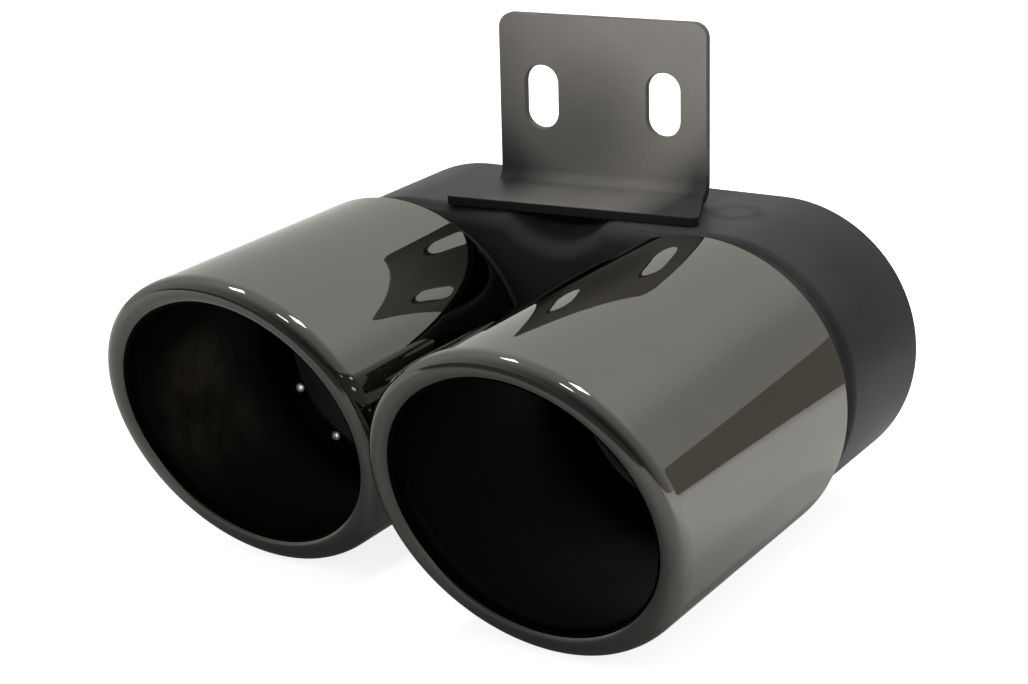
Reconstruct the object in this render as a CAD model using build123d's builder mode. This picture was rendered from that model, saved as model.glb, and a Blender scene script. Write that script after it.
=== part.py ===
"""Twin exhaust tip: two slash-cut tips on a pinched oval sleeve, with a slotted hanging bracket.

Millimetres, +Z up. The tips point along -Y, and the sleeve opens along +Y. The origin is on the
floor, midway across the part and midway between its front and its rear.
"""

import os
from math import atan2, cos, radians, sin, sqrt, tan

from build123d import *

os.makedirs("parts", exist_ok=True)

# Tips: two straight tubes side by side, each with a slanted mouth, a rolled lip and a turned-in rear end
tip_radius = 40.0
tip_sheet = 1.5
tip_rear_turn = 5.5
tip_gap = 8.6
right_tip_length = 103.2
left_tip_length = 84.0

# Slant of each mouth from square, and how far its long side is turned from the top towards +X
right_slant = 18.8
right_slant_turn = 5.9
left_slant = 18.4
left_slant_turn = 4.4

# Lip: a short easy shoulder, then a round nose that turns back into the mouth
shoulder_radius = 12.0
shoulder_angle = 16.0
nose_radius = 3.4

# The lip's two arcs are drawn in equal flats, so that its slanted bands stay straight across
shoulder_flats = 1
nose_flats = 4

# Sleeve: an oval with a flat front wall and two round necks that the tips' rear ends sit on
sleeve_sheet = 1.5
sleeve_length = 45.0
sleeve_step = 1.4
sleeve_front_radius = 5.0
neck_gap = 2.5
neck_length = 7.5

# Pinch: a valley above and below, deepest at the front wall, that runs out towards the rear
valley_radius = 17.0
valley_depth = 8.1
valley_run = 27.0
valley_edge_extra = 1.0

# Bracket: a bent plate on the sleeve's flat top, turned a little out of square
plate = 2.5
bend_radius = 3.0
bracket_yaw = 5.3
bracket_setback = 35.0
upright_width = 58.3
upright_height = 47.0
upright_corner_radius = 4.0
flange_reach = 23.7
flange_flare = 6.3
flange_corner_radius = 2.0
slot_width = 9.3
slot_length = 17.0
slot_spacing = 34.2
slot_height = 25.0

# Weld tacks: pairs of small beads inside each tip's rear end, over the neck's inner edge
tack_width = 2.4
tack_height = 1.0
tack_bevel = 0.5
tack_flats = 8
tack_pairs = 2
tack_spread = 27.6
right_tack_angle = -41.9
left_tack_angle = -138.1

# Sizes and places that follow from those above
tip_bore_radius = tip_radius - tip_sheet
tip_rear_radius = tip_bore_radius - tip_rear_turn
tip_spacing = 2 * tip_radius + tip_gap
neck_radius = tip_bore_radius - neck_gap
neck_bore_radius = neck_radius - sleeve_sheet
sleeve_radius = neck_radius + sleeve_step
sleeve_inner_bevel = (sleeve_front_radius - sleeve_sheet) * (2 - sqrt(2))
valley_edge_radius = sleeve_front_radius + valley_edge_extra
flange_width = upright_width + 2 * flange_flare
axis_z = tip_radius
rim_behind_tips = neck_length + sleeve_length
overall_depth = right_tip_length + rim_behind_tips
rim_y = overall_depth / 2
tip_rear_y = rim_y - rim_behind_tips
wall_y = rim_y - sleeve_length
sleeve_top_z = axis_z + sleeve_radius


def flats(curve, count):
    """Points that part a curve into equal flats."""
    return [curve @ (step / count) for step in range(count + 1)]


def slanted_lip(length, slope, turn):
    """A tip's rolled lip about the Y axis, with the tip's rear edge at Y = 0, and where it starts."""
    bend = shoulder_radius - nose_radius
    nose_ring = tip_radius - shoulder_radius + bend * cos(radians(shoulder_angle))
    nose_y = slope * nose_ring + nose_radius * sqrt(1 + slope**2) - length
    start_y = nose_y + bend * sin(radians(shoulder_angle))
    with BuildPart() as lip:
        with BuildSketch(Plane.XY):
            with BuildLine():
                shoulder = JernArc(
                    (tip_radius, start_y), (0, -1), shoulder_radius, -shoulder_angle, mode=Mode.PRIVATE
                )
                nose = JernArc(
                    shoulder @ 1, shoulder % 1, nose_radius, shoulder_angle - 180, mode=Mode.PRIVATE
                )
                Polyline(*flats(shoulder, shoulder_flats))
                Polyline(*flats(nose, nose_flats))
                Polyline(nose @ 1, ((nose @ 1).X, start_y), (tip_radius, start_y))
            make_face()
        revolve(axis=Axis.Y)
    slant = Matrix(
        [
            [1, 0, 0, 0],
            [-slope * sin(radians(turn)), 1, -slope * cos(radians(turn)), 0],
            [0, 0, 1, 0],
            [0, 0, 0, 1],
        ]
    )
    return lip.part.transform_geometry(slant), start_y


def slash_cut_tip(side, length, slant, turn):
    """One tip in its place: a plain tube cut on the slant, with the rolled lip on its mouth."""
    slope = tan(radians(slant))
    lip, start_y = slanted_lip(length, slope, turn)
    mouth = Plane(
        (0, start_y, 0),
        x_dir=(cos(radians(turn)), 0, -sin(radians(turn))),
        z_dir=(slope * sin(radians(turn)), 1, slope * cos(radians(turn))),
    )
    with BuildPart() as tube:
        with BuildSketch(Plane.XZ):
            Circle(tip_radius)
            Circle(tip_bore_radius, mode=Mode.SUBTRACT)
        extrude(amount=length)
        split(bisect_by=mouth, keep=Keep.TOP)
        add(lip)

        # The rear end is turned in, over the neck's rim
        with BuildSketch(Plane.XZ):
            Circle(tip_radius)
            Circle(tip_rear_radius, mode=Mode.SUBTRACT)
        extrude(amount=tip_sheet)
    return tube.part.moved(Location((side * tip_spacing / 2, tip_rear_y, axis_z)))


def sleeve_form(inset):
    """The sleeve's solid form, with its skin moved in by the inset."""
    with BuildPart() as form:
        with BuildSketch(Plane.XZ.offset(-rim_y)):
            with Locations((0, axis_z)):
                SlotCenterToCenter(tip_spacing, 2 * (sleeve_radius - inset))
        extrude(amount=sleeve_length - inset)

        rise = atan2(valley_depth, valley_run)
        for up in (1, -1):
            lift = sleeve_radius - valley_depth + valley_radius * cos(rise)
            start = (0, wall_y - valley_radius * sin(rise), axis_z + up * lift)
            with BuildSketch(Plane(start, x_dir=(1, 0, 0), z_dir=(0, cos(rise), up * sin(rise)))):
                Circle(valley_radius + inset)
            extrude(amount=2 * sleeve_length, both=True, mode=Mode.SUBTRACT)
        if inset:
            front_wall = form.faces().filter_by(Axis.Y).sort_by(Axis.Y)[0]
            chamfer(front_wall.outer_wire().edges(), sleeve_inner_bevel)
        else:
            valley_edges = form.edges().filter_by(GeomType.ELLIPSE).group_by(Axis.Y)[-1]
            fillet(valley_edges, valley_edge_radius)
            front_wall = form.faces().filter_by(Axis.Y).sort_by(Axis.Y)[0]
            fillet(front_wall.outer_wire().edges(), sleeve_front_radius)

        # Two round necks from the front wall to the tips
        with BuildSketch(Plane.XZ.offset(-wall_y - sleeve_front_radius)):
            with Locations((0, axis_z)):
                with GridLocations(tip_spacing, 0, 2, 1):
                    Circle(neck_radius - inset)
        extrude(amount=neck_length + sleeve_front_radius)
    return form.part


right_tube = slash_cut_tip(1, right_tip_length, right_slant, right_slant_turn)
with BuildPart() as right_tip:
    add(right_tube)
right_tip.part.label = "right_tip"
export_step(right_tip.part, "parts/right_tip.step")

left_tube = slash_cut_tip(-1, left_tip_length, left_slant, left_slant_turn)
with BuildPart() as left_tip:
    add(left_tube)
left_tip.part.label = "left_tip"
export_step(left_tip.part, "parts/left_tip.step")

sleeve_skin = sleeve_form(0)
sleeve_hollow = sleeve_form(sleeve_sheet)
with BuildPart() as twin_sleeve:
    add(sleeve_skin)
    add(sleeve_hollow, mode=Mode.SUBTRACT)
twin_sleeve.part.label = "twin_sleeve"
export_step(twin_sleeve.part, "parts/twin_sleeve.step")

# The bracket's own planes: flat on the sleeve's top, across its bend, and on the upright's front
across = (cos(radians(bracket_yaw)), sin(radians(bracket_yaw)), 0)
seat = Plane((0, tip_rear_y + bracket_setback, sleeve_top_z), x_dir=across, z_dir=(0, 0, 1))
section = Plane(seat.origin, x_dir=seat.y_dir, z_dir=seat.x_dir)
upright_front = Plane(seat.origin, x_dir=seat.x_dir, z_dir=-seat.y_dir)

with BuildPart() as bracket:
    with BuildSketch(section):
        with BuildLine():
            FilletPolyline((-flange_reach, plate), (0, plate), (0, upright_height), radius=bend_radius)
            offset(amount=plate, side=Side.RIGHT)
        make_face()
    extrude(amount=flange_width / 2, both=True)

    # Seen from above, the flange flares from the upright's width to its own at the front
    with BuildSketch(seat) as outline:
        with BuildLine():
            half = Polyline(
                (0, -flange_reach),
                (flange_width / 2, -flange_reach),
                (upright_width / 2, -bend_radius),
                (upright_width / 2, plate),
                (0, plate),
            )
            mirror(half, about=Plane.YZ)
        make_face()
        fillet(outline.vertices().group_by(Axis.Y)[0], flange_corner_radius)
    extrude(amount=upright_height, mode=Mode.INTERSECT)
    top_corners = bracket.faces().sort_by(Axis.Z)[-1].edges().sort_by(SortBy.LENGTH)[:2]
    fillet(top_corners, upright_corner_radius)

    # Two upright bolt slots
    with BuildSketch(upright_front):
        with Locations((0, slot_height)):
            with GridLocations(slot_spacing, 0, 2, 1):
                SlotOverall(slot_length, slot_width, rotation=90)
    extrude(amount=-plate, mode=Mode.SUBTRACT)
bracket.part.label = "bracket"
export_step(bracket.part, "parts/bracket.step")

# Each tack is a low bead of flats with a bevelled top, on the front of a tip's turned-in rear end
with BuildPart() as weld_tacks:
    for side, first_angle in ((1, right_tack_angle), (-1, left_tack_angle)):
        with BuildSketch(Plane.XZ.offset(tip_sheet - tip_rear_y)):
            with Locations((side * tip_spacing / 2, axis_z)):
                with PolarLocations(0, tack_pairs, first_angle):
                    with PolarLocations(neck_bore_radius, 2, -tack_spread / 2, tack_spread, endpoint=True):
                        RegularPolygon(
                            tack_width / 2, tack_flats, major_radius=False, rotation=180 / tack_flats
                        )
        extrude(amount=tack_height)
    chamfer(weld_tacks.faces().group_by(Axis.Y)[0].edges(), tack_bevel)
weld_tacks.part.label = "weld_tacks"
export_step(weld_tacks.part, "parts/weld_tacks.step")
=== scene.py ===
import math

import bmesh
import bpy
from bpy.props import FloatProperty, FloatVectorProperty, IntProperty, PointerProperty
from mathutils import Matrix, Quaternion, Vector


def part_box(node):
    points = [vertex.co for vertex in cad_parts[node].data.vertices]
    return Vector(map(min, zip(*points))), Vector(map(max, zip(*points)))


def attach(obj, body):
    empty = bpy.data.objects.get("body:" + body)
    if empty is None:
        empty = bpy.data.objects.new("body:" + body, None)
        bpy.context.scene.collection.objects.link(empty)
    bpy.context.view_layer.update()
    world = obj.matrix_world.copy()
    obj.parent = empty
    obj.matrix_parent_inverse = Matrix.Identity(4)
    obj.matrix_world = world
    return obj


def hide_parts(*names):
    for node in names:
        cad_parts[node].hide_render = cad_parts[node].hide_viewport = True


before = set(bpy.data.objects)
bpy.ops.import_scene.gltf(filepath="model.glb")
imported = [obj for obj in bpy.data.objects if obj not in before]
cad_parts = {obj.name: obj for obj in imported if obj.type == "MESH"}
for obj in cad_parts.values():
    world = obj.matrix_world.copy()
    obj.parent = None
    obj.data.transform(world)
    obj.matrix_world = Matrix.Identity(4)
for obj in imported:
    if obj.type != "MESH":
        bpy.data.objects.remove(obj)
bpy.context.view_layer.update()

bl_info = {
    "name": "Twin Exhaust Tip",
    "version": (1, 0, 0),
    "blender": (4, 5, 0),
    "location": "View3D > Sidebar > Exhaust Tip",
    "description": "Builds the finished pieces of a twin exhaust tip around its packed solids",
    "category": "Object",
}

BODY = "root"
MM = 0.001

# Places read from the solids: each tip's box, the sleeve's and the bracket's
RIGHT_LOW, RIGHT_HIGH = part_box("right_tip")
LEFT_LOW, LEFT_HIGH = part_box("left_tip")
SLEEVE_LOW, SLEEVE_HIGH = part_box("twin_sleeve")
BRACKET_LOW, BRACKET_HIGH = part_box("bracket")

# Steps of a tip's wall along its length, of the lip's shoulder and nose, and of the nose's chrome part
# before its painted shade
WALL_STEPS = 14
SHOULDER_STEPS = 12
NOSE_STEPS = 41
BRIGHT_STEPS = 29

# Steps of a tip's rounded rear edge, and of the bracket's bend
EDGE_STEPS = 4
BEND_STEPS = 12

# Angles up to which the turned tips, the pressed sleeve and the bent plate are shaded smooth
TIP_CREASE = math.radians(48)
SLEEVE_CREASE = math.radians(50)
PLATE_CREASE = math.radians(50)

# Points this close are one, in the solids' meshes and in the flat plate
MERGE_DISTANCE = 0.002 * MM
PLATE_MERGE_DISTANCE = 0.005 * MM

# Faces of the flat plate that look up or down less than this are its cut edges
FLAT_LIMIT = 0.95

# How full a weld bead's dome is, below 1 for a fuller one
DOME_POWER = 0.8

# Scales of the smudges, the grain and the rub marks in each finish
MARK_SCALES = {
    "black_chrome": (22.0, 900.0, 40.0),
    "shaded_bore": (24.0, 700.0, 50.0),
    "black_paint": (26.0, 1300.0, 45.0),
    "satin_steel": (34.0, 1600.0, 70.0),
    "cut_steel": (60.0, 1200.0, 90.0),
    "weld_metal": (300.0, 1800.0, 200.0),
}

# Warmth of the chrome's mirror at a glancing angle
EDGE_WARMTH = (1.0, 0.99, 0.95)

# Mirror strength of the black paint, on the sleeve and where it has drifted onto the bracket, and of the
# bores
PAINT_SPECULAR = 0.05
BORE_SPECULAR = 0.03

# Middle of the bracket's foot, and how far the sleeve's paint drifts up it there and at its ends
DRIFT_MIDDLE = 1 * MM
DRIFT_LOW = 7 * MM
DRIFT_HIGH = 28 * MM

# Heights above the sleeve where painted shade and overspray fade out, and where a cut edge turns from bare
# to paint darkened as painted shade
DUST_AND_SHADE_HEIGHTS = (10 * MM, 45 * MM)
EDGE_HEIGHTS = (12 * MM, 3 * MM)

# Middle and reach of a darker patch on the bracket's upright
DARK_PATCH_PLACE = (-2.0 * MM, 60.0 * MM, 98.0 * MM)
DARK_PATCH_REACH = 20.0 * MM

# Middle and radius of a dull ring in the paint, and how far off it is gone and is full
DULL_RING = (39.5 * MM, 58.0 * MM, SLEEVE_HIGH.z)
DULL_RING_RADIUS = 6.0 * MM
DULL_RING_FADE = (3.2 * MM, 0.3 * MM)

# Middle and reach of a painted warm reflection in the left bore, and where painted shade darkens the bores
# towards the rear
REFLECTION_PLACE = (-81.0 * MM, -12.0 * MM, 29.0 * MM)
REFLECTION_REACH = 26.0 * MM
BORE_SHADE_START = LEFT_HIGH.y - 24.0 * MM
BORE_SHADE_END = LEFT_HIGH.y - 8.0 * MM

# Stage, in metres: the floor, and the dark strip that stands behind on the right
FLOOR_Z = -0.2 * MM
FLOOR_LOW = (-1.2, -1.15)
FLOOR_HIGH = (0.8, 0.85)
STRIP_ENDS = ((0.14, 0.256), (0.46, 0.393))
STRIP_HEIGHT = 0.1

# The floor as the metal sees it: from and to which place, and how light it is at each
FLOOR_BEHIND = (-0.08, 0.04, 0.42, 1.1)
FLOOR_SIDES = (0.05, 0.15, 0.0, 0.15)
FLOOR_LEFT = (-0.22, -0.12, 0.2, 0.0)

# Its front edge, how far that runs forward to the sides, and how light it is beyond
FLOOR_EDGE = (-0.125, -0.16)
FLOOR_EDGE_SLOPE = 0.42
FLOOR_EDGE_LEVEL = 0.13

# Half width and half depth of the part's own shade on it, and how that fades out
SHADE_HALVES = {"X": 0.0443, "Y": 0.0425}
SHADE_FADE = (0.0, 0.035, 0.7, 1.0)

# The floor's colour has room for shades up to this
FLOOR_ROOM = 1.25

# The room as the metal sees it, by direction: its dark side, and where each change starts and ends
DARK_SIDE = (0.661, -0.751, 0.0)
DARK_FALL = (-0.53, 0.947)
BACKDROP_Y = (0.55, 0.8)
RIGHT_X = (0.05, 0.4)
LOW_Z = (0.52, 0.3)
OVERHEAD_Z = (0.6, 0.8)

# Lamps: the softbox overhead, three small ones on the ceiling, and a narrow one each for tacks and bracket
LAMP_AIM = (0.0, 0.0, 0.05)
SOFTBOX_PLACE = (0.0, 0.15, 1.1)
SOFTBOX_SIZE = 1.0
LAMP_WAYS = ((-0.28, 0.4, 0.87), (0.32, 0.15, 0.93), (0.25, 0.58, 0.78))
LAMP_DISTANCE = 1.3
LAMP_SIZE = 0.17
BEAD_AIM = (-0.026, 0.0, -0.023)
BEAD_WAY = (0.42, -0.86, 0.29)
BEAD_DISTANCE = 0.45
BEAD_SPREAD = math.radians(3)
PLATE_AIM = (0.014, 0.062, 0.122)
PLATE_WAY = (-0.15, -0.88, 0.45)
PLATE_DISTANCE = 1.1
PLATE_SPREAD = math.radians(6.6)


class ExhaustTipShape(bpy.types.PropertyGroup):
    """Sizes of the two slash-cut tips and their rolled lips."""

    sheet: FloatProperty(
        name="Sheet", description="Thickness of a tip's wall", default=1.5 * MM, unit="LENGTH", precision=4
    )
    right_slant: FloatProperty(
        name="Right Slant",
        description="Slant of the right mouth from square",
        default=math.radians(18.8),
        subtype="ANGLE",
    )
    right_turn: FloatProperty(
        name="Right Turn",
        description="Turn of the right mouth's long side from the top",
        default=math.radians(5.9),
        subtype="ANGLE",
    )
    left_slant: FloatProperty(
        name="Left Slant",
        description="Slant of the left mouth from square",
        default=math.radians(18.4),
        subtype="ANGLE",
    )
    left_turn: FloatProperty(
        name="Left Turn",
        description="Turn of the left mouth's long side from the top",
        default=math.radians(4.4),
        subtype="ANGLE",
    )
    shoulder_radius: FloatProperty(
        name="Shoulder Radius",
        description="Easy curve from the wall into the lip",
        default=12 * MM,
        unit="LENGTH",
        precision=4,
    )
    shoulder_angle: FloatProperty(
        name="Shoulder Angle",
        description="How far the shoulder turns in before the nose",
        default=math.radians(16),
        subtype="ANGLE",
    )
    nose_radius: FloatProperty(
        name="Nose Radius",
        description="Round roll at the front of the lip",
        default=3.4 * MM,
        unit="LENGTH",
        precision=4,
    )
    rear_turn: FloatProperty(
        name="Rear Turn",
        description="How far a tip's rear end is turned in",
        default=5.5 * MM,
        unit="LENGTH",
        precision=4,
    )
    ring_parts: IntProperty(
        name="Ring Parts", description="Faces round a tip", default=320, min=48, max=640
    )


class ExhaustBracketShape(bpy.types.PropertyGroup):
    """Sizes of the bent and slotted plate."""

    plate: FloatProperty(
        name="Plate", description="Thickness of the plate", default=2.5 * MM, unit="LENGTH", precision=4
    )
    bend_radius: FloatProperty(
        name="Bend Radius", description="Inside of the bend", default=3 * MM, unit="LENGTH", precision=4
    )
    yaw: FloatProperty(
        name="Yaw",
        description="Turn of the bracket out of square",
        default=math.radians(5.3),
        subtype="ANGLE",
    )
    width: FloatProperty(
        name="Width", description="Width of the upright", default=58.3 * MM, unit="LENGTH", precision=4
    )
    corner: FloatProperty(
        name="Corner Radius",
        description="Rounding of the upright's top corners",
        default=4 * MM,
        unit="LENGTH",
        precision=4,
    )
    reach: FloatProperty(
        name="Flange Reach",
        description="How far the flange runs forward of the upright",
        default=23.7 * MM,
        unit="LENGTH",
        precision=4,
    )
    flare: FloatProperty(
        name="Flange Flare",
        description="How much each end of the flange widens",
        default=6.3 * MM,
        unit="LENGTH",
        precision=4,
    )
    flange_corner: FloatProperty(
        name="Flange Corner",
        description="Rounding of the flange's front corners",
        default=2 * MM,
        unit="LENGTH",
        precision=4,
    )
    slot_width: FloatProperty(
        name="Slot Width", description="Width of a bolt slot", default=9.3 * MM, unit="LENGTH", precision=4
    )
    slot_length: FloatProperty(
        name="Slot Length", description="Length of a bolt slot", default=17 * MM, unit="LENGTH", precision=4
    )
    slot_spacing: FloatProperty(
        name="Slot Spacing",
        description="Distance between the slots",
        default=34.2 * MM,
        unit="LENGTH",
        precision=4,
    )
    slot_height: FloatProperty(
        name="Slot Height",
        description="Middle of the slots above the sleeve",
        default=25 * MM,
        unit="LENGTH",
        precision=4,
    )
    edge_round: FloatProperty(
        name="Edge Rounding",
        description="Rounding of the plate's cut edges",
        default=0.35 * MM,
        unit="LENGTH",
        precision=5,
    )


class ExhaustFinishes(bpy.types.PropertyGroup):
    """Colours and gloss of the four finishes."""

    chrome: FloatVectorProperty(
        name="Black Chrome",
        description="Mirror colour of the tips",
        default=(0.169, 0.166, 0.153),
        subtype="COLOR",
        min=0,
        max=1,
    )
    chrome_edge: FloatProperty(
        name="Chrome Edge",
        description="How bright the tips mirror at a glancing angle",
        default=0.74,
        min=0,
        max=1,
        subtype="FACTOR",
    )
    chrome_roughness: FloatProperty(
        name="Chrome Roughness",
        description="Haze of the tips' mirror",
        default=0.035,
        min=0,
        max=1,
        subtype="FACTOR",
    )
    # Near-black colour inside the tips and the sleeve, painted shade
    bore: FloatVectorProperty(
        name="Bore",
        description="Colour inside the tips",
        default=(0.005, 0.004, 0.0025),
        subtype="COLOR",
        min=0,
        max=1,
    )
    paint: FloatVectorProperty(
        name="Black Paint",
        description="Colour of the sleeve",
        default=(0.03, 0.0305, 0.031),
        subtype="COLOR",
        min=0,
        max=1,
    )
    paint_roughness: FloatProperty(
        name="Paint Roughness",
        description="Sheen of the sleeve's paint",
        default=0.42,
        min=0,
        max=1,
        subtype="FACTOR",
    )
    plate: FloatVectorProperty(
        name="Plate",
        description="Colour of the bracket's satin steel",
        default=(0.262, 0.247, 0.226),
        subtype="COLOR",
        min=0,
        max=1,
    )
    plate_roughness: FloatProperty(
        name="Plate Roughness",
        description="Sheen of the bracket's steel",
        default=0.56,
        min=0,
        max=1,
        subtype="FACTOR",
    )
    bead: FloatVectorProperty(
        name="Weld Metal",
        description="Colour of the weld tacks",
        default=(0.85, 0.84, 0.81),
        subtype="COLOR",
        min=0,
        max=1,
    )


class ExhaustStage(bpy.types.PropertyGroup):
    """Camera, floor and studio light."""

    camera_place: FloatVectorProperty(
        name="Camera",
        description="Where the camera stands",
        default=(0.2961, -0.50025, 0.2413),
        subtype="TRANSLATION",
        unit="LENGTH",
        precision=4,
    )
    camera_aim: FloatVectorProperty(
        name="Aim",
        description="Point at the middle of the picture",
        default=(0.00404, 0.00456, 0.0533),
        subtype="TRANSLATION",
        unit="LENGTH",
        precision=4,
    )
    camera_roll: FloatProperty(
        name="Roll", description="Tilt of the camera", default=math.radians(-1.441), subtype="ANGLE"
    )
    lens: FloatProperty(
        name="Lens", description="Focal length in millimetres", default=86.72, unit="CAMERA"
    )
    floor: FloatVectorProperty(
        name="Floor",
        description="Colour of the floor",
        default=(0.8, 0.8, 0.8),
        subtype="COLOR",
        min=0,
        max=1,
    )
    floor_glow: FloatProperty(
        name="Floor Glow",
        description="White that the camera sees in the floor",
        default=0.85,
        min=0,
        max=1,
        subtype="FACTOR",
    )
    floor_sheen: FloatProperty(
        name="Floor Sheen",
        description="White that the metal shows in the floor",
        default=0.12,
        min=0,
        max=1,
        subtype="FACTOR",
    )
    ambient: FloatProperty(
        name="Ambient", description="Even light from all round", default=0.45, min=0, max=2
    )
    key_power: FloatProperty(
        name="Key Power", description="Soft lamp overhead", default=9.0, unit="POWER"
    )
    lamp_power: FloatProperty(
        name="Lamp Power", description="Each of the three small ceiling lamps", default=1.0, unit="POWER"
    )
    bead_power: FloatProperty(
        name="Bead Power", description="The narrow lamp on the weld tacks", default=9.0, unit="POWER"
    )
    plate_power: FloatProperty(
        name="Plate Power", description="The soft lamp on the bracket's upright", default=43.0, unit="POWER"
    )
    front_level: FloatProperty(
        name="Front Level",
        description="How bright the room in front looks in the metal, away from its dark side",
        default=0.7,
        min=0,
        max=2,
    )
    ceiling_level: FloatProperty(
        name="Ceiling Level",
        description="How bright the ceiling looks in the metal beside the walls",
        default=0.65,
        min=0,
        max=2,
    )
    dark_level: FloatProperty(
        name="Dark Level",
        description="How bright the dark side of the room looks in the metal",
        default=0.06,
        min=0,
        max=2,
    )
    side_level: FloatProperty(
        name="Side Level",
        description="How bright the low right side of the backdrop looks in the metal",
        default=0.7,
        min=0,
        max=2,
    )
    strip: FloatVectorProperty(
        name="Dark Strip",
        description="Colour of the dark strip that stands behind on the right",
        default=(0.34, 0.31, 0.275),
        subtype="COLOR",
        min=0,
        max=1,
    )


def feed(node, inputs):
    """Gives a node's inputs, by name or number, a value or another node's output."""
    for name, value in inputs.items():
        if isinstance(value, bpy.types.NodeSocket):
            node.id_data.links.new(value, node.inputs[name])
        else:
            node.inputs[name].default_value = value


def add_node(tree, kind, inputs=None, **options):
    """Adds a shader node with its options and inputs."""
    made = tree.nodes.new(kind)
    for name, value in options.items():
        setattr(made, name, value)
    feed(made, inputs or {})
    return made


def spread(tree, value, low, high, to_low=0.0, to_high=1.0):
    """Maps a value's range onto another, held at its ends, and gives the output."""
    made = add_node(
        tree,
        "ShaderNodeMapRange",
        {"Value": value, "From Min": low, "From Max": high, "To Min": to_low, "To Max": to_high},
    )
    return made.outputs["Result"]


def smooth_step(tree, value, low, high):
    """A soft step from 0 to 1 between two values."""
    made = add_node(
        tree,
        "ShaderNodeMapRange",
        {"Value": value, "From Min": low, "From Max": high},
        interpolation_type="SMOOTHSTEP",
    )
    return made.outputs["Result"]


def maths(tree, operation, first, second=0.0):
    """One sum on two values."""
    made = add_node(tree, "ShaderNodeMath", {0: first, 1: second}, operation=operation)
    return made.outputs[0]


def tinted(tree, factor, first, second):
    """A colour between two others, each a plain one or another node's output."""
    made = add_node(tree, "ShaderNodeMix", {"Factor": factor}, data_type="RGBA")
    for number, colour in ((6, first), (7, second)):
        linked = isinstance(colour, bpy.types.NodeSocket)
        feed(made, {number: colour if linked else (*colour, 1)})
    return made.outputs[2]


def object_place(tree):
    """The place on the object."""
    return add_node(tree, "ShaderNodeTexCoord").outputs["Object"]


def parts_of(tree, vector):
    """A vector's outputs X, Y and Z."""
    return add_node(tree, "ShaderNodeSeparateXYZ", {0: vector}).outputs


def distance_from(tree, place, point):
    """How far a place lies from a fixed point."""
    made = add_node(tree, "ShaderNodeVectorMath", {0: place, 1: point}, operation="DISTANCE")
    return made.outputs["Value"]


def noise(tree, place, scale, detail, roughness):
    """Even noise over a place."""
    inputs = {"Vector": place, "Scale": scale, "Detail": detail, "Roughness": roughness}
    return add_node(tree, "ShaderNodeTexNoise", inputs).outputs[0]


def handling_group():
    """The shared effect of handling: broad smudges, fine grain and thin rub marks over a surface."""
    found = bpy.data.node_groups.get("handling")
    if found:
        return found
    group = bpy.data.node_groups.new("handling", "ShaderNodeTree")
    for name, default in (("Smudge Scale", 30.0), ("Grain Scale", 1500.0), ("Rub Scale", 60.0)):
        socket = group.interface.new_socket(name, in_out="INPUT", socket_type="NodeSocketFloat")
        socket.default_value = default
    for name in ("Smudge", "Grain", "Rub"):
        group.interface.new_socket(name, in_out="OUTPUT", socket_type="NodeSocketFloat")
    taken = group.nodes.new("NodeGroupInput").outputs
    place = object_place(group)
    smudge = noise(group, place, taken["Smudge Scale"], detail=5.0, roughness=0.62)
    grain = noise(group, place, taken["Grain Scale"], detail=2.0, roughness=0.5)
    drawn = add_node(group, "ShaderNodeMapping", {"Vector": place, "Scale": (1.0, 14.0, 14.0)})
    rub = noise(group, drawn.outputs["Vector"], taken["Rub Scale"], detail=4.0, roughness=0.7)
    broad, thin = spread(group, smudge, 0.32, 0.68), spread(group, rub, 0.3, 0.7)
    add_node(group, "NodeGroupOutput", {"Smudge": broad, "Grain": grain, "Rub": thin})
    return group


def bare_material(name):
    """A new material with an empty tree."""
    material = bpy.data.materials.new(name)
    material.use_nodes = True
    material.node_tree.nodes.clear()
    return material, material.node_tree


def show_surface(tree, surface):
    """Sends a shader to the material's output."""
    add_node(tree, "ShaderNodeOutputMaterial", {"Surface": surface})


def new_material(name):
    """A material with its Principled BSDF and the handling effect at its finish's scales."""
    material, tree = bare_material(name)
    shader = add_node(tree, "ShaderNodeBsdfPrincipled")
    show_surface(tree, shader.outputs[0])
    scales = dict(zip(("Smudge Scale", "Grain Scale", "Rub Scale"), MARK_SCALES[name]))
    marks = add_node(tree, "ShaderNodeGroup", scales, node_tree=handling_group())
    return material, tree, shader, marks.outputs


def add_bump(tree, shader, height, strength, distance):
    """Gives a shader fine relief from a height."""
    bump = add_node(tree, "ShaderNodeBump", {"Height": height, "Strength": strength, "Distance": distance})
    feed(shader, {"Normal": bump.outputs[0]})


def scaled(colour, factor):
    """A colour made lighter or darker."""
    return tuple(min(1.0, channel * factor) for channel in colour)


def black_chrome():
    """Mirror-bright black chrome with faint polishing haze."""
    finishes = bpy.context.scene.exhaust_finishes
    material, tree, shader, marks = new_material("black_chrome")
    colour = tuple(finishes.chrome)
    base = tinted(tree, marks["Smudge"], scaled(colour, 0.96), scaled(colour, 1.03))
    haze = maths(tree, "MULTIPLY", marks["Smudge"], marks["Rub"])
    low = finishes.chrome_roughness
    roughness = spread(tree, haze, 0.0, 1.0, low * 0.6, low * 1.6)
    feed(shader, {"Base Color": base, "Roughness": roughness})
    shader.inputs["Metallic"].default_value = 1.0
    shader.inputs["Specular Tint"].default_value = (*scaled(EDGE_WARMTH, finishes.chrome_edge), 1)
    add_bump(tree, shader, marks["Smudge"], 0.02, 0.4 * MM)
    return material


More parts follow.
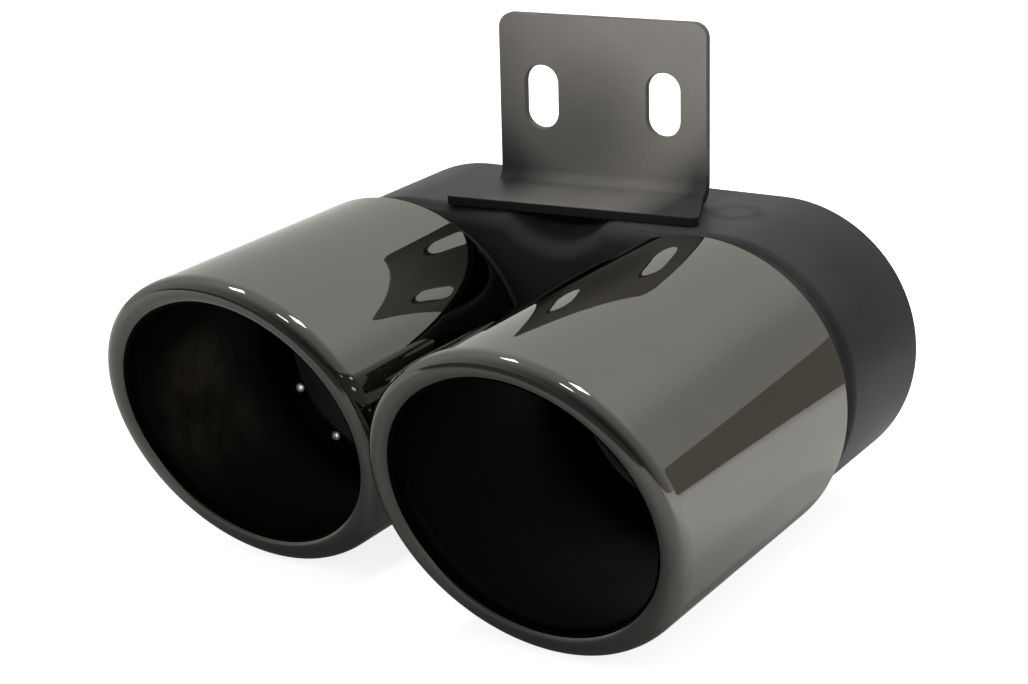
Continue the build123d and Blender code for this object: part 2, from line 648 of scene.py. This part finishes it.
def shaded_bore():
    """Painted shade inside a tip: dull near-black, with a painted warm reflection and darker towards the
    rear.
    """
    finishes = bpy.context.scene.exhaust_finishes
    material, tree, shader, marks = new_material("shaded_bore")
    colour = tuple(finishes.bore)
    place = object_place(tree)
    # A painted warm reflection on the upper left of the left bore
    near = smooth_step(tree, distance_from(tree, place, REFLECTION_PLACE), REFLECTION_REACH, REFLECTION_REACH * 0.3)
    reflection_patches = maths(tree, "MULTIPLY", smooth_step(tree, marks["Smudge"], 0.2, 0.9), near)
    reflected = tinted(tree, reflection_patches, scaled(colour, 0.35), scaled(colour, 12.0))
    # Painted shade darkens the bores towards the rear
    deep_shade = smooth_step(tree, parts_of(tree, place)["Y"], BORE_SHADE_START, BORE_SHADE_END)
    base = tinted(tree, deep_shade, reflected, scaled(colour, 0.12))
    roughness = spread(tree, marks["Smudge"], 0.0, 1.0, 0.6, 0.45)
    feed(shader, {"Base Color": base, "Roughness": roughness})
    shader.inputs["Specular IOR Level"].default_value = BORE_SPECULAR
    add_bump(tree, shader, marks["Grain"], 0.1, 0.1 * MM)
    return material


def black_paint():
    """Satin black paint with a fine orange-peel grain and a few smudges."""
    finishes = bpy.context.scene.exhaust_finishes
    material, tree, shader, marks = new_material("black_paint")
    colour = tuple(finishes.paint)
    base = tinted(tree, marks["Smudge"], scaled(colour, 0.75), scaled(colour, 1.3))

    # A faint dull ring is left on the top, beside the bracket
    away = distance_from(tree, object_place(tree), DULL_RING)
    off = maths(tree, "ABSOLUTE", maths(tree, "SUBTRACT", away, DULL_RING_RADIUS))
    ring = maths(tree, "MULTIPLY", smooth_step(tree, off, *DULL_RING_FADE), marks["Rub"])
    ringed = tinted(tree, ring, base, scaled(colour, 0.7))
    low = finishes.paint_roughness
    sheen = spread(tree, marks["Smudge"], 0.0, 1.0, low * 0.9, low * 1.15)
    feed(shader, {"Base Color": ringed, "Roughness": spread(tree, ring, 0.0, 1.0, sheen, 0.6)})
    shader.inputs["Specular IOR Level"].default_value = PAINT_SPECULAR
    add_bump(tree, shader, marks["Grain"], 0.12, 0.1 * MM)
    return material


def satin_steel():
    """Warm grey satin steel. The sleeve's black paint drifts over its flange and up its foot. Painted shade
    darkens it to the left and low down.
    """
    finishes = bpy.context.scene.exhaust_finishes
    material, tree, shader, marks = new_material("satin_steel")
    colour = tuple(finishes.plate)
    grained = tinted(tree, marks["Grain"], scaled(colour, 0.85), scaled(colour, 1.15))
    steel = tinted(tree, marks["Smudge"], scaled(colour, 0.88), grained)

    # Paint lies thickest at both ends of the foot, and thins out upwards and to the right
    place = object_place(tree)
    apart = parts_of(tree, place)
    height = maths(tree, "SUBTRACT", apart["Z"], BRACKET_LOW.z)
    half = (BRACKET_HIGH.x - BRACKET_LOW.x) / 2
    sideways = maths(tree, "SUBTRACT", apart["X"], DRIFT_MIDDLE)
    outward = maths(tree, "POWER", maths(tree, "DIVIDE", maths(tree, "ABSOLUTE", sideways), half), 2.0)
    reach = spread(tree, outward, 0.0, 0.8, DRIFT_LOW, DRIFT_HIGH)
    foot = smooth_step(tree, maths(tree, "DIVIDE", height, reach), 1.0, 0.1)
    thick = maths(tree, "MULTIPLY", foot, spread(tree, outward, 0.1, 0.5, 0.15, 1.0))
    # Painted shade darkens the steel to the left, and low down together with overspray; a darker patch lies
    # on the upright
    dust_and_shade = maths(
        tree,
        "ADD",
        spread(tree, apart["X"], -half, half, 0.34, 0.0),
        spread(tree, height, *DUST_AND_SHADE_HEIGHTS, 0.28, 0.0),
    )
    away = distance_from(tree, place, DARK_PATCH_PLACE)
    dust_and_shade = maths(tree, "ADD", dust_and_shade, spread(tree, away, DARK_PATCH_REACH, DARK_PATCH_REACH * 0.2, 0.0, 0.24))
    dust_shaded = tinted(tree, dust_and_shade, steel, tuple(finishes.paint))
    base = tinted(tree, thick, dust_shaded, tuple(finishes.paint))
    metallic = spread(tree, thick, 0.0, 1.0, 0.25, 0.0)
    roughness = spread(tree, thick, 0.0, 1.0, finishes.plate_roughness, finishes.paint_roughness)
    feed(shader, {"Base Color": base, "Metallic": metallic, "Roughness": roughness})
    shader.inputs["Specular IOR Level"].default_value = PAINT_SPECULAR
    add_bump(tree, shader, marks["Grain"], 0.1, 0.1 * MM)
    return material


def cut_steel():
    """The dull dark edge that the plate was cut to."""
    finishes = bpy.context.scene.exhaust_finishes
    material, tree, shader, marks = new_material("cut_steel")
    colour = scaled(tuple(finishes.plate), 0.42)
    bare = tinted(tree, marks["Rub"], scaled(colour, 0.7), scaled(colour, 1.2))

    # Down on the flange the edge is painted over with the sleeve, darkened to half the paint's colour as
    # painted shade
    height = maths(tree, "SUBTRACT", parts_of(tree, object_place(tree))["Z"], BRACKET_LOW.z)
    painted = smooth_step(tree, height, *EDGE_HEIGHTS)
    base = tinted(tree, painted, bare, scaled(tuple(finishes.paint), 0.5))
    roughness = spread(tree, marks["Grain"], 0.0, 1.0, 0.5, 0.65)
    feed(shader, {"Base Color": base, "Roughness": roughness})
    shader.inputs["Specular IOR Level"].default_value = PAINT_SPECULAR
    add_bump(tree, shader, marks["Grain"], 0.2, 0.1 * MM)
    return material


def weld_metal():
    """Bright bare weld metal, a little uneven."""
    finishes = bpy.context.scene.exhaust_finishes
    material, tree, shader, marks = new_material("weld_metal")
    colour = tuple(finishes.bead)
    base = tinted(tree, marks["Smudge"], scaled(colour, 0.7), colour)
    roughness = spread(tree, marks["Smudge"], 0.0, 1.0, 0.5, 0.6)
    feed(shader, {"Base Color": base, "Roughness": roughness})
    shader.inputs["Metallic"].default_value = 1.0
    add_bump(tree, shader, marks["Smudge"], 0.3, 0.3 * MM)
    return material


def add_piece(name, mesh, slot, *nodes):
    """Puts a mesh in the scene as a finished piece that stands for CAD nodes."""
    if not mesh.polygons:
        raise RuntimeError(f"{name} has no faces")
    piece = bpy.data.objects.new(name, mesh)
    bpy.context.scene.collection.objects.link(piece)
    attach(piece, BODY)
    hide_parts(*nodes)


def weigh_normals(mesh, crease):
    """Shades a mesh smooth up to a crease angle, each corner's normal led by the largest faces there."""
    mesh.set_sharp_from_angle(angle=crease)
    limit = math.cos(crease)
    around = [[] for _ in mesh.vertices]
    for face in mesh.polygons:
        for vertex in face.vertices:
            around[vertex].append((face.normal.copy(), face.area))
    normals = []
    for face in mesh.polygons:
        for vertex in face.vertices:
            near = [normal * area for normal, area in around[vertex] if normal.dot(face.normal) > limit]
            normals.append(sum(near, Vector()).normalized())
    mesh.normals_split_custom_set(normals)


def arc(centre, radius, start, end, count=10):
    """Points on an arc about a centre, from one angle to another."""
    angles = [start + (end - start) * step / count for step in range(count + 1)]
    x, y = centre
    return [(x + radius * math.cos(angle), y + radius * math.sin(angle)) for angle in angles]


def tip_section(shape, radius, length, slope):
    """Rings round a tip's closed section as (radius, place, share of the slant, painted shade or not)."""
    bore = radius - shape.sheet
    rear_bore = bore - shape.rear_turn
    turn = shape.shoulder_angle
    bend = shape.shoulder_radius - shape.nose_radius
    nose_ring = radius - shape.shoulder_radius + bend * math.cos(turn)
    nose_place = slope * nose_ring + shape.nose_radius * math.sqrt(1 + slope**2) - length
    start = nose_place + bend * math.sin(turn)
    shoulder = arc((radius - shape.shoulder_radius, start), shape.shoulder_radius, 0, -turn, SHOULDER_STEPS)
    nose = arc((nose_ring, nose_place), shape.nose_radius, -turn, -math.pi, NOSE_STEPS)
    mouth = nose[-1][0]
    edge = shape.sheet * 0.3
    soft = shape.sheet * 0.2
    eased = soft * 0.3
    front = -shape.sheet

    # Along the outer wall, over the lip and down its back
    shares = [step / WALL_STEPS for step in range(WALL_STEPS)]
    rings = [(radius, -edge + (start + edge) * share, share, 0) for share in shares]
    rings += [(*point, 1, 0) for point in shoulder + nose[1:BRIGHT_STEPS]]
    # The inner end of the nose takes the bore's painted shade
    rings += [(*point, 1, 1) for point in nose[BRIGHT_STEPS:]]
    rings += [(mouth, start - soft, 1, 1), (mouth + eased, start - eased, 1, 1)]
    rings += [(mouth + soft, start, 1, 1), (bore, start, 1, 1)]

    # Back along the bore, down the turned-in rear end and up its outside, the first half of it in painted
    # shade
    rings += [(bore, front + (start - front) * (1 - share), 1 - share, 1) for share in shares[1:]]
    rings += [(bore, front, 0, 1), (rear_bore + soft, front, 0, 1)]
    rings += [(rear_bore + eased, front + eased, 0, 1), (rear_bore, front + soft, 0, 1)]
    rings += [(rear_bore, -soft, 0, 1), (rear_bore + eased, -eased, 0, 1)]
    rings += [(rear_bore + soft, 0, 0, 1), (bore - shape.rear_turn * 0.45, 0, 0, 0)]
    for step in range(EDGE_STEPS):
        angle = math.pi / 2 * step / EDGE_STEPS
        rings.append((radius - edge + edge * math.sin(angle), -edge + edge * math.cos(angle), 0, 0))
    return rings


def tip_mesh(name, low, high, slant, turn):
    """A tip's lathe-smooth mesh: its section swung round the axis, the mouth slanted."""
    shape = bpy.context.scene.exhaust_tips
    radius = (high.x - low.x) / 2
    middle = Vector(((low.x + high.x) / 2, high.y, (low.z + high.z) / 2))
    slope = math.tan(slant)
    rings = tip_section(shape, radius, high.y - low.y, slope)
    parts = shape.ring_parts
    work = bmesh.new()
    rows = []
    for reach, y, share, _ in rings:
        row = []
        for part in range(parts):
            angle = math.tau * part / parts
            x, z = reach * math.cos(angle), reach * math.sin(angle)
            lean = -slope * share * (x * math.sin(turn) + z * math.cos(turn))
            row.append(work.verts.new(middle + Vector((x, y + lean, z))))
        rows.append(row)
    for number, row in enumerate(rows):
        after = rows[(number + 1) % len(rows)]
        for part in range(parts):
            ahead = (part + 1) % parts
            face = work.faces.new((row[part], row[ahead], after[ahead], after[part]))
            face.smooth = True
            face.material_index = rings[number][3]
    bmesh.ops.recalc_face_normals(work, faces=work.faces)
    mesh = bpy.data.meshes.new(name)
    work.to_mesh(mesh)
    work.free()
    weigh_normals(mesh, TIP_CREASE)
    return mesh


def smooth_copy(name, node, crease):
    """A copy of a solid's mesh with its faces joined and shaded smooth up to a crease angle."""
    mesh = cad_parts[node].data.copy()
    mesh.name = name
    mesh.materials.clear()
    work = bmesh.new()
    work.from_mesh(mesh)
    bmesh.ops.remove_doubles(work, verts=work.verts, dist=MERGE_DISTANCE)
    for face in work.faces:
        face.smooth = True
        face.material_index = 0
    work.to_mesh(mesh)
    work.free()
    weigh_normals(mesh, crease)
    return mesh


def add_dome(work, middle, half, rounds=20, steps=8):
    """A low round bead with its flat side at the back, that fills a box about its middle."""
    rows = []
    for step in range(steps):
        tilt = math.pi / 2 * step / steps
        reach = math.cos(tilt) ** DOME_POWER
        rise = half.y * (1 - 2 * math.sin(tilt))
        row = []
        for part in range(rounds):
            angle = math.tau * part / rounds
            place = (half.x * reach * math.cos(angle), rise, half.z * reach * math.sin(angle))
            row.append(work.verts.new(middle + Vector(place)))
        rows.append(row)
    tip = work.verts.new(middle - Vector((0, half.y, 0)))
    faces = [work.faces.new(reversed(rows[0]))]
    for row, after in zip(rows, rows[1:]):
        for part in range(rounds):
            ahead = (part + 1) % rounds
            faces.append(work.faces.new((row[part], row[ahead], after[ahead], after[part])))
    for part in range(rounds):
        faces.append(work.faces.new((rows[-1][part], rows[-1][(part + 1) % rounds], tip)))
    bmesh.ops.recalc_face_normals(work, faces=faces)
    for face in faces[1:]:
        face.smooth = True


def bead_mesh(name, node):
    """Round domes in the places of a node's separate beads, which lie on faces that look along -Y."""
    source = bmesh.new()
    source.from_mesh(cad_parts[node].data)
    bmesh.ops.remove_doubles(source, verts=source.verts, dist=MERGE_DISTANCE)
    source.verts.ensure_lookup_table()
    left = set(range(len(source.verts)))
    work = bmesh.new()
    for first in range(len(source.verts)):
        if first not in left:
            continue
        left.remove(first)

        # Points that edges join belong to one bead
        patch = [source.verts[first]]
        for vert in patch:
            for edge in vert.link_edges:
                other = edge.other_vert(vert)
                if other.index in left:
                    left.remove(other.index)
                    patch.append(other)
        low = Vector([min(vert.co[axis] for vert in patch) for axis in range(3)])
        high = Vector([max(vert.co[axis] for vert in patch) for axis in range(3)])
        add_dome(work, (low + high) / 2, (high - low) / 2)
    source.free()
    mesh = bpy.data.meshes.new(name)
    work.to_mesh(mesh)
    work.free()
    return mesh


class EXHAUST_OT_tips(bpy.types.Operator):
    """Makes the two slash-cut tips with their rolled lips"""

    bl_idname = "exhaust.tips"
    bl_label = "Tips"
    bl_options = {"REGISTER", "UNDO"}

    def execute(self, context):
        shape = context.scene.exhaust_tips
        chrome, bore = black_chrome(), shaded_bore()
        for side, low, high, slant, turn in (
            ("right", RIGHT_LOW, RIGHT_HIGH, shape.right_slant, shape.right_turn),
            ("left", LEFT_LOW, LEFT_HIGH, shape.left_slant, shape.left_turn),
        ):
            mesh = tip_mesh(f"polished_{side}_tip", low, high, slant, turn)
            mesh.materials.append(chrome)
            mesh.materials.append(bore)
            add_piece(f"polished_{side}_tip", mesh, "black_chrome", f"{side}_tip")
        return {"FINISHED"}


class EXHAUST_OT_sleeve(bpy.types.Operator):
    """Makes the pinched oval sleeve with its two necks"""

    bl_idname = "exhaust.sleeve"
    bl_label = "Sleeve"
    bl_options = {"REGISTER", "UNDO"}

    def execute(self, context):
        mesh = smooth_copy("painted_sleeve", "twin_sleeve", SLEEVE_CREASE)
        mesh.materials.append(black_paint())
        mesh.materials.append(shaded_bore())
        middle_z = (SLEEVE_LOW.z + SLEEVE_HIGH.z) / 2
        span = RIGHT_LOW.x + (RIGHT_HIGH.x - RIGHT_LOW.x) / 2

        # Faces that look into the hollow, or back from its front wall, take the tips' near-black bore colour
        # as painted shade
        for face in mesh.polygons:
            nearest = Vector((max(-span, min(span, face.center.x)), face.center.y, middle_z))
            faces_in = face.normal.dot(face.center - nearest) < -0.001 * MM
            looks_back = face.normal.y > 0.5 and face.center.y < SLEEVE_HIGH.y - MM
            face.material_index = int(faces_in or looks_back)
        add_piece("painted_sleeve", mesh, "black_paint", "twin_sleeve")
        return {"FINISHED"}


def plate_outlines(shape, height):
    """The plate's flat outline and its two slots, along the unbent plate from the flange's front."""
    flat = shape.reach - shape.bend_radius
    bent = flat + shape.bend_radius * math.pi / 2
    top = bent + height - shape.plate - shape.bend_radius
    half, wide = shape.width / 2, shape.width / 2 + shape.flare
    tilt = math.atan2(shape.flare, flat)
    corner = shape.flange_corner
    across = wide - corner * (1 + math.sin(tilt)) / math.cos(tilt)
    front_corner = arc((across, corner), corner, -math.pi / 2, tilt)
    top_corner = arc((half - shape.corner, top - shape.corner), shape.corner, 0, math.pi / 2)
    right_side = front_corner + [(half, flat)] + top_corner
    outline = right_side + [(-x, y) for x, y in reversed(right_side)]
    middle = bent + shape.slot_height - shape.plate - shape.bend_radius
    slots = []
    for side in (-1, 1):
        x = side * shape.slot_spacing / 2
        reach = (shape.slot_length - shape.slot_width) / 2
        upper = arc((x, middle + reach), shape.slot_width / 2, 0, math.pi, 24)
        lower = arc((x, middle - reach), shape.slot_width / 2, math.pi, math.tau, 24)
        slots.append(upper + lower)
    return outline, slots, flat, bent


def flat_plate(shape, outline, slots):
    """The unbent plate as a mesh with rounded cut edges, from a filled curve with two holes."""
    curve = bpy.data.curves.new("plate_outline", "CURVE")
    curve.dimensions = "2D"
    curve.fill_mode = "BOTH"
    curve.extrude = shape.plate / 2 - shape.edge_round
    curve.bevel_depth = shape.edge_round
    curve.bevel_resolution = 3
    curve.offset = -shape.edge_round
    for points in [outline, *slots]:
        spline = curve.splines.new("POLY")
        spline.points.add(len(points) - 1)
        for point, (x, y) in zip(spline.points, points):
            point.co = (x, y, 0, 1)
        spline.use_cyclic_u = True
    holder = bpy.data.objects.new("plate_outline", curve)
    bpy.context.scene.collection.objects.link(holder)
    mesh = bpy.data.meshes.new_from_object(holder.evaluated_get(bpy.context.evaluated_depsgraph_get()))
    bpy.data.objects.remove(holder)
    bpy.data.curves.remove(curve)
    return mesh


def bend_plate(work, shape, flat, bent):
    """Bends the flat plate and sets it in the bracket's place. Its upper face is the inside of the bend."""
    for step in range(BEND_STEPS + 1):
        place = flat + (bent - flat) * step / BEND_STEPS
        everything = work.verts[:] + work.edges[:] + work.faces[:]
        bmesh.ops.bisect_plane(work, geom=everything, plane_co=(0, place, 0), plane_no=(0, 1, 0))
    across = Vector((math.cos(shape.yaw), math.sin(shape.yaw), 0))
    along = Vector((-math.sin(shape.yaw), math.cos(shape.yaw), 0))
    up = Vector((0, 0, 1))
    seat = Vector(((BRACKET_LOW.x + BRACKET_HIGH.x) / 2, 0, BRACKET_LOW.z))
    for vert in work.verts:
        x, place, depth = vert.co.x, vert.co.y, shape.plate / 2 - vert.co.z
        if place <= flat:
            y, z = place - shape.reach, shape.plate - depth
        elif place >= bent:
            y, z = depth, shape.plate + shape.bend_radius + place - bent
        else:
            turn = (place - flat) / shape.bend_radius
            radius = shape.bend_radius + depth
            y = -shape.bend_radius + radius * math.sin(turn)
            z = shape.plate + shape.bend_radius - radius * math.cos(turn)
        vert.co = seat + across * x + along * y + up * z
    low_y = min(vert.co.y for vert in work.verts)
    low_x = min(vert.co.x for vert in work.verts)
    shift = Vector((BRACKET_LOW.x - low_x, BRACKET_LOW.y - low_y, 0))
    bmesh.ops.translate(work, verts=work.verts, vec=shift)
    bmesh.ops.recalc_face_normals(work, faces=work.faces)


class EXHAUST_OT_bracket(bpy.types.Operator):
    """Makes the bent hanging bracket with its two bolt slots"""

    bl_idname = "exhaust.bracket"
    bl_label = "Bracket"
    bl_options = {"REGISTER", "UNDO"}

    def execute(self, context):
        shape = context.scene.exhaust_bracket
        height = BRACKET_HIGH.z - BRACKET_LOW.z
        outline, slots, flat, bent = plate_outlines(shape, height)
        mesh = flat_plate(shape, outline, slots)
        mesh.name = "slotted_bracket"
        mesh.materials.clear()
        work = bmesh.new()
        work.from_mesh(mesh)
        bmesh.ops.remove_doubles(work, verts=work.verts, dist=PLATE_MERGE_DISTANCE)
        for face in work.faces:
            face.smooth = True
            face.material_index = int(abs(face.normal.z) < FLAT_LIMIT)
        bend_plate(work, shape, flat, bent)
        work.to_mesh(mesh)
        work.free()
        mesh.materials.append(satin_steel())
        mesh.materials.append(cut_steel())
        weigh_normals(mesh, PLATE_CREASE)
        add_piece("slotted_bracket", mesh, "satin_steel", "bracket")
        return {"FINISHED"}


class EXHAUST_OT_tacks(bpy.types.Operator):
    """Makes the small weld tacks between the necks and the tips"""

    bl_idname = "exhaust.tacks"
    bl_label = "Weld Tacks"
    bl_options = {"REGISTER", "UNDO"}

    def execute(self, context):
        mesh = bead_mesh("weld_beads", "weld_tacks")
        mesh.materials.append(weld_metal())
        add_piece("weld_beads", mesh, "weld_metal", "weld_tacks")
        return {"FINISHED"}


def hang_lamp(name, kind, place, aim, power):
    """A lamp of one of Blender's kinds that shines from its place at an aim."""
    data = bpy.data.lights.new(name, kind)
    data.energy = power
    lamp = bpy.data.objects.new(name, data)
    lamp.location = place
    lamp.rotation_mode = "QUATERNION"
    lamp.rotation_quaternion = (Vector(aim) - Vector(place)).to_track_quat("-Z", "Y")
    bpy.context.scene.collection.objects.link(lamp)
    return lamp


def add_lamp(name, place, size, power):
    """A square soft lamp that shines at the part."""
    lamp = hang_lamp(name, "AREA", place, LAMP_AIM, power)
    lamp.data.shape = "SQUARE"
    lamp.data.size = size
    return lamp


def add_spot(name, place, aim, spread_angle, blend, size, power):
    """A narrow lamp with a soft rim."""
    lamp = hang_lamp(name, "SPOT", place, aim, power)
    lamp.data.spot_size = spread_angle
    lamp.data.spot_blend = blend
    lamp.data.shadow_soft_size = size
    return lamp


def add_lamps(stage):
    """The softbox, the ceiling's small lamps and the two narrow ones."""
    softbox = add_lamp("overhead_softbox", SOFTBOX_PLACE, SOFTBOX_SIZE, stage.key_power)
    softbox.visible_glossy = False
    for number, way in enumerate(LAMP_WAYS):
        place = Vector(way) * LAMP_DISTANCE
        add_lamp(f"ceiling_lamp_{number + 1}", place, LAMP_SIZE, stage.lamp_power)

    # One in front reaches the weld tacks through the left mouth
    rear = Vector(((LEFT_LOW.x + LEFT_HIGH.x) / 2, LEFT_HIGH.y, (LEFT_LOW.z + LEFT_HIGH.z) / 2))
    aim = rear + Vector(BEAD_AIM)
    place = aim + Vector(BEAD_WAY) * BEAD_DISTANCE
    add_spot("bead_lamp", place, aim, BEAD_SPREAD, blend=0.3, size=0.01, power=stage.bead_power)

    # One in front lifts the bracket's upright
    aim = Vector(PLATE_AIM)
    place = aim + Vector(PLATE_WAY) * PLATE_DISTANCE
    front = add_spot("plate_lamp", place, aim, PLATE_SPREAD, blend=0.9, size=0.02, power=stage.plate_power)
    front.visible_glossy = False


def add_camera(stage):
    """The camera, at the photograph's viewing angle."""
    data = bpy.data.cameras.new("camera")
    data.sensor_fit = "HORIZONTAL"
    data.sensor_width = 36.0
    data.lens = stage.lens
    data.clip_start = 0.01
    camera = bpy.data.objects.new("camera", data)
    place, aim = Vector(stage.camera_place), Vector(stage.camera_aim)
    camera.location = place
    camera.rotation_mode = "QUATERNION"
    level = (aim - place).to_track_quat("-Z", "Y")
    camera.rotation_quaternion = level @ Quaternion((0, 0, 1), stage.camera_roll)
    bpy.context.scene.collection.objects.link(camera)
    bpy.context.scene.camera = camera


def ray_kinds(tree):
    """Outputs that are 1 for what the camera sees itself, and for what it sees in metal or through glass."""
    path = add_node(tree, "ShaderNodeLightPath").outputs
    mirrored = maths(tree, "MAXIMUM", path["Is Glossy Ray"], path["Is Transmission Ray"])
    return path["Is Camera Ray"], mirrored


def studio_world(stage):
    """The room: white behind, dim overhead and in front, with a dark side."""
    world = bpy.data.worlds.new("studio")
    bpy.context.scene.world = world
    world.use_nodes = True
    tree = world.node_tree
    tree.nodes.clear()
    direction = add_node(tree, "ShaderNodeTexCoord").outputs["Generated"]
    apart = parts_of(tree, direction)

    # Behind: a white backdrop, dimmer low on the right and overhead
    rightward = smooth_step(tree, apart["X"], *RIGHT_X)
    low_side = maths(tree, "MULTIPLY", smooth_step(tree, apart["Z"], *LOW_Z), rightward)
    side = spread(tree, low_side, 0.0, 1.0, 1.0, stage.side_level)
    overhead = smooth_step(tree, apart["Z"], *OVERHEAD_Z)
    behind = maths(tree, "MULTIPLY", side, spread(tree, overhead, 0.0, 1.0, 1.0, stage.ceiling_level))

    # In front and at the sides: a dim room that falls off towards its dark side
    toward = add_node(
        tree, "ShaderNodeVectorMath", {0: direction, 1: DARK_SIDE}, operation="DOT_PRODUCT"
    ).outputs["Value"]
    front = spread(tree, toward, *DARK_FALL, stage.front_level, stage.dark_level)
    room = spread(tree, smooth_step(tree, apart["Y"], *BACKDROP_Y), 0.0, 1.0, front, behind)

    camera, mirrored = ray_kinds(tree)
    seen = maths(tree, "MAXIMUM", maths(tree, "MULTIPLY", room, mirrored), camera)
    falling = maths(tree, "SUBTRACT", 1.0, maths(tree, "MAXIMUM", mirrored, camera))
    strength = maths(tree, "ADD", seen, maths(tree, "MULTIPLY", falling, stage.ambient))
    light = add_node(tree, "ShaderNodeBackground", {"Color": (1, 1, 1, 1), "Strength": strength})
    add_node(tree, "ShaderNodeOutputWorld", {"Surface": light.outputs[0]})


def floor_shade(tree):
    """How the metal sees the floor: light behind and on the left, dim in front, dark under the part."""
    apart = parts_of(tree, object_place(tree))
    sideways = maths(tree, "ABSOLUTE", apart["X"])
    behind = spread(tree, apart["Y"], *FLOOR_BEHIND)
    sides = spread(tree, sideways, *FLOOR_SIDES)
    left = spread(tree, apart["X"], *FLOOR_LEFT)
    lit = maths(tree, "ADD", maths(tree, "ADD", behind, sides), left)
    slanted = maths(tree, "ADD", apart["Y"], maths(tree, "MULTIPLY", sideways, FLOOR_EDGE_SLOPE))
    edged = spread(tree, smooth_step(tree, slanted, *FLOOR_EDGE), 0.0, 1.0, lit, FLOOR_EDGE_LEVEL)
    gaps = []
    for axis, half in SHADE_HALVES.items():
        past = maths(tree, "SUBTRACT", maths(tree, "ABSOLUTE", apart[axis]), half)
        gaps.append(maths(tree, "POWER", maths(tree, "MAXIMUM", past, 0.0), 2.0))
    distance = maths(tree, "SQRT", maths(tree, "ADD", *gaps))
    return maths(tree, "MULTIPLY", edged, spread(tree, distance, *SHADE_FADE))


def floor_material(stage):
    """A pale matt floor that looks white where nothing shades it."""
    material, tree = bare_material("pale_floor")
    camera, mirrored = ray_kinds(tree)
    shade = spread(tree, mirrored, 0.0, 1.0, 1.0, floor_shade(tree))
    share = maths(tree, "DIVIDE", shade, FLOOR_ROOM)
    colour = tinted(tree, share, (0, 0, 0), scaled(tuple(stage.floor), FLOOR_ROOM))
    sheen = maths(tree, "MULTIPLY", maths(tree, "MULTIPLY", mirrored, stage.floor_sheen), shade)
    glow = maths(tree, "ADD", maths(tree, "MULTIPLY", camera, stage.floor_glow), sheen)
    matt = add_node(tree, "ShaderNodeBsdfDiffuse", {"Color": colour})
    white = add_node(tree, "ShaderNodeEmission", {"Color": (1, 1, 1, 1), "Strength": glow})
    both = add_node(tree, "ShaderNodeAddShader", {0: matt.outputs[0], 1: white.outputs[0]})
    show_surface(tree, both.outputs[0])
    return material


def strip_material(stage):
    """The plain dull face of the dark strip."""
    material, tree = bare_material("dark_strip")
    face = add_node(tree, "ShaderNodeEmission", {"Color": (*stage.strip, 1), "Strength": 1.0})
    show_surface(tree, face.outputs[0])
    return material


def add_backdrop(name, corners, material):
    """A flat sheet of the stage, from its corners."""
    mesh = bpy.data.meshes.new(name)
    mesh.from_pydata(corners, [], [tuple(range(len(corners)))])
    mesh.materials.append(material)
    sheet = bpy.data.objects.new(name, mesh)
    bpy.context.scene.collection.objects.link(sheet)
    return sheet


class EXHAUST_OT_stage(bpy.types.Operator):
    """Makes the floor, the studio light and the camera"""

    bl_idname = "exhaust.stage"
    bl_label = "Stage"
    bl_options = {"REGISTER", "UNDO"}

    def execute(self, context):
        stage = context.scene.exhaust_stage
        context.scene.view_settings.view_transform = "Standard"
        studio_world(stage)
        (x0, y0), (x1, y1) = FLOOR_LOW, FLOOR_HIGH
        corners = [(x0, y0, FLOOR_Z), (x1, y0, FLOOR_Z), (x1, y1, FLOOR_Z), (x0, y1, FLOOR_Z)]
        add_backdrop("floor", corners, floor_material(stage))
        (x0, y0), (x1, y1) = STRIP_ENDS
        corners = [(x0, y0, 0), (x1, y1, 0), (x1, y1, STRIP_HEIGHT), (x0, y0, STRIP_HEIGHT)]
        strip = add_backdrop("dark_strip", corners, strip_material(stage))
        strip.visible_camera = False
        add_lamps(stage)
        add_camera(stage)
        return {"FINISHED"}


class EXHAUST_PT_panel(bpy.types.Panel):
    """Lists the pieces and their settings in the sidebar"""

    bl_idname = "EXHAUST_PT_panel"
    bl_label = "Exhaust Tip"
    bl_space_type = "VIEW_3D"
    bl_region_type = "UI"
    bl_category = "Exhaust Tip"

    def draw(self, context):
        layout = self.layout
        for operator in OPERATORS:
            layout.operator(operator.bl_idname)
        for pointer, group in GROUPS.items():
            box = layout.box()
            for name in group.__annotations__:
                box.prop(getattr(context.scene, pointer), name)


GROUPS = {
    "exhaust_tips": ExhaustTipShape,
    "exhaust_bracket": ExhaustBracketShape,
    "exhaust_finishes": ExhaustFinishes,
    "exhaust_stage": ExhaustStage,
}
OPERATORS = (
    EXHAUST_OT_tips,
    EXHAUST_OT_sleeve,
    EXHAUST_OT_bracket,
    EXHAUST_OT_tacks,
    EXHAUST_OT_stage,
)


def register():
    """Registers the settings, the operators and the panel."""
    for name, group in GROUPS.items():
        bpy.utils.register_class(group)
        setattr(bpy.types.Scene, name, PointerProperty(type=group))
    for operator in OPERATORS:
        bpy.utils.register_class(operator)
    bpy.utils.register_class(EXHAUST_PT_panel)


def unregister():
    """Takes them out again, last first."""
    bpy.utils.unregister_class(EXHAUST_PT_panel)
    for operator in reversed(OPERATORS):
        bpy.utils.unregister_class(operator)
    for name, group in reversed(GROUPS.items()):
        delattr(bpy.types.Scene, name)
        bpy.utils.unregister_class(group)


def main():
    """Builds every piece and the stage."""
    register()
    bpy.ops.exhaust.tips()
    bpy.ops.exhaust.sleeve()
    bpy.ops.exhaust.bracket()
    bpy.ops.exhaust.tacks()
    bpy.ops.exhaust.stage()


if __name__ == "__main__":
    main()
